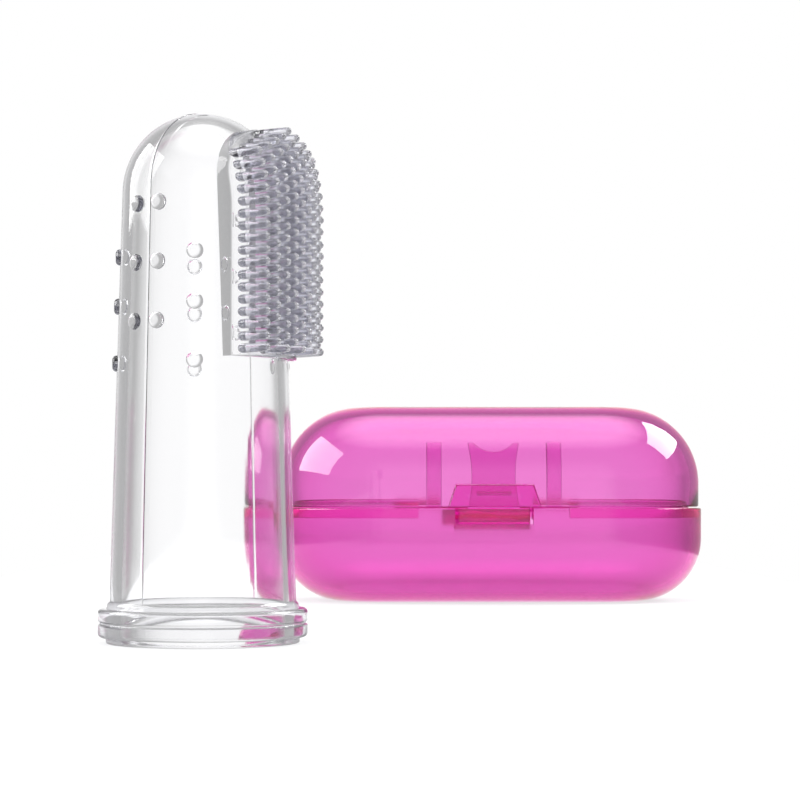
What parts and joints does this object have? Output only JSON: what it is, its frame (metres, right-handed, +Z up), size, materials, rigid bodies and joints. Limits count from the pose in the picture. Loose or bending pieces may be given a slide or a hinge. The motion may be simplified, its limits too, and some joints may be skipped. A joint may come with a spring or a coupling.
{
  "type": "finger toothbrush",
  "caption": "Clear silicone finger sleeve with a domed tip, a bristle pad and massage nubs, and its hinged clear pink storage case with a front latch.",
  "frame": {"origin": "centre of the brush's open lower end, on the level that the brush and the case stand on", "axes": "+Z up along the brush's axis to its tip; +X to the right along the case's length; the case's latch faces -Y and its hinge +Y"},
  "size_m": [0.0777, 0.1354, 0.056],
  "materials": {
    "silicone": "clear, smooth moulded silicone",
    "lid_plastic": "clear pink, polished moulding",
    "base_plastic": "clear pink, polished moulding"
  },
  "bodies": {
    "brush": {"base_rim": "silicone", "bristle_column_1": "silicone", "bristle_column_2": "silicone", "bristle_column_3": "silicone", "bristle_column_4": "silicone", "bristle_column_5": "silicone", "bristle_column_6": "silicone", "bristle_column_7": "silicone", "bristle_column_8": "silicone", "bristle_column_9": "silicone", "bristle_pad": "silicone", "finger_sleeve": "silicone", "nub_column_1": "silicone", "nub_column_2": "silicone", "nub_column_3": "silicone", "nub_column_4": "silicone", "nub_column_5": "silicone", "nub_column_6": "silicone", "nub_column_7": "silicone", "nub_column_8": "silicone"},
    "case_base": {"case_base": "base_plastic", "locating_lip": "base_plastic", "hinge_block": "base_plastic", "hinge_pin": "base_plastic"},
    "case_lid": {"case_lid": "lid_plastic", "lid_knuckle_left": "lid_plastic", "lid_knuckle_right": "lid_plastic", "lid_rib_left": "lid_plastic", "lid_rib_right": "lid_plastic", "thumb_bar": "lid_plastic"},
    "latch": {"latch_tongue": "base_plastic", "catch_bead": "base_plastic"}
  },
  "joints": [
    {"name": "case_lift", "type": "slide", "parent": "brush", "child": "case_base", "axis": [0, 0, 1], "range_m": [0, 0.06]},
    {"name": "lid_hinge", "type": "hinge", "parent": "case_base", "child": "case_lid", "pos_m": [0.0346, 0.1223, 0.014], "axis": [-1, 0, 0], "range_deg": [0, 115]},
    {"name": "latch_flex", "type": "hinge", "parent": "case_base", "child": "latch", "pos_m": [0.0346, 0.08865, 0.0118], "axis": [-1, 0, 0], "range_deg": [0, 6], "stiffness_Nm_per_rad": 0.05}
  ]
}
